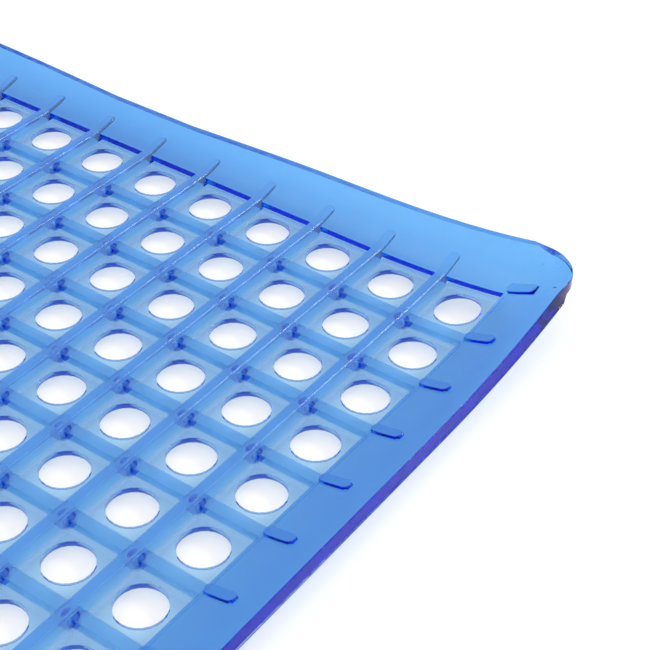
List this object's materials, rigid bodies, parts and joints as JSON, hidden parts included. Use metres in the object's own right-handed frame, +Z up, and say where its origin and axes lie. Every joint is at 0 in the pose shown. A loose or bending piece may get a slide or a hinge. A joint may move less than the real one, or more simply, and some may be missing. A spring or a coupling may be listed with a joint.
{
  "type": "sink mat",
  "caption": "Flexible translucent mat with a grid of ribs, a round drain hole in each cell, feet underneath and a raised border with upturned rounded corners.",
  "frame": {"origin": "centre of the mat in plan, at the table that its feet stand on", "axes": "+X along the longer side, +Y along the shorter side and along the long ribs, +Z up out of the table"},
  "size_m": [0.2868, 0.2468, 0.0158],
  "materials": {
    "thin_vinyl": "thin translucent blue soft vinyl, satin",
    "rib_vinyl": "translucent blue soft vinyl, satin gloss",
    "border_vinyl": "thicker translucent blue soft vinyl, satin gloss"
  },
  "bodies": {
    "root": {"floor_sheet": "thin_vinyl", "border_rim": "border_vinyl", "long_rib_01": "rib_vinyl", "long_rib_02": "rib_vinyl", "long_rib_03": "rib_vinyl", "long_rib_04": "rib_vinyl", "long_rib_05": "rib_vinyl", "long_rib_06": "rib_vinyl", "long_rib_07": "rib_vinyl", "long_rib_08": "rib_vinyl", "long_rib_09": "rib_vinyl", "long_rib_10": "rib_vinyl", "long_rib_11": "rib_vinyl", "long_rib_12": "rib_vinyl", "cross_rib_01": "rib_vinyl", "cross_rib_02": "rib_vinyl", "cross_rib_03": "rib_vinyl", "cross_rib_04": "rib_vinyl", "cross_rib_05": "rib_vinyl", "cross_rib_06": "rib_vinyl", "cross_rib_07": "rib_vinyl", "cross_rib_08": "rib_vinyl", "cross_rib_09": "rib_vinyl", "cross_rib_10": "rib_vinyl", "grip_bar_left_01": "rib_vinyl", "grip_bar_left_02": "rib_vinyl", "grip_bar_left_03": "rib_vinyl", "grip_bar_left_04": "rib_vinyl", "grip_bar_left_05": "rib_vinyl", "grip_bar_left_06": "rib_vinyl", "grip_bar_left_07": "rib_vinyl", "grip_bar_left_08": "rib_vinyl", "grip_bar_left_09": "rib_vinyl", "grip_bar_left_10": "rib_vinyl", "grip_bar_left_11": "rib_vinyl", "grip_bar_left_12": "rib_vinyl", "grip_bar_right_01": "rib_vinyl", "grip_bar_right_02": "rib_vinyl", "grip_bar_right_03": "rib_vinyl", "grip_bar_right_04": "rib_vinyl", "grip_bar_right_05": "rib_vinyl", "grip_bar_right_06": "rib_vinyl", "grip_bar_right_07": "rib_vinyl", "grip_bar_right_08": "rib_vinyl", "grip_bar_right_09": "rib_vinyl", "grip_bar_right_10": "rib_vinyl", "grip_bar_right_11": "rib_vinyl", "grip_bar_right_12": "rib_vinyl"}
  },
  "joints": []
}
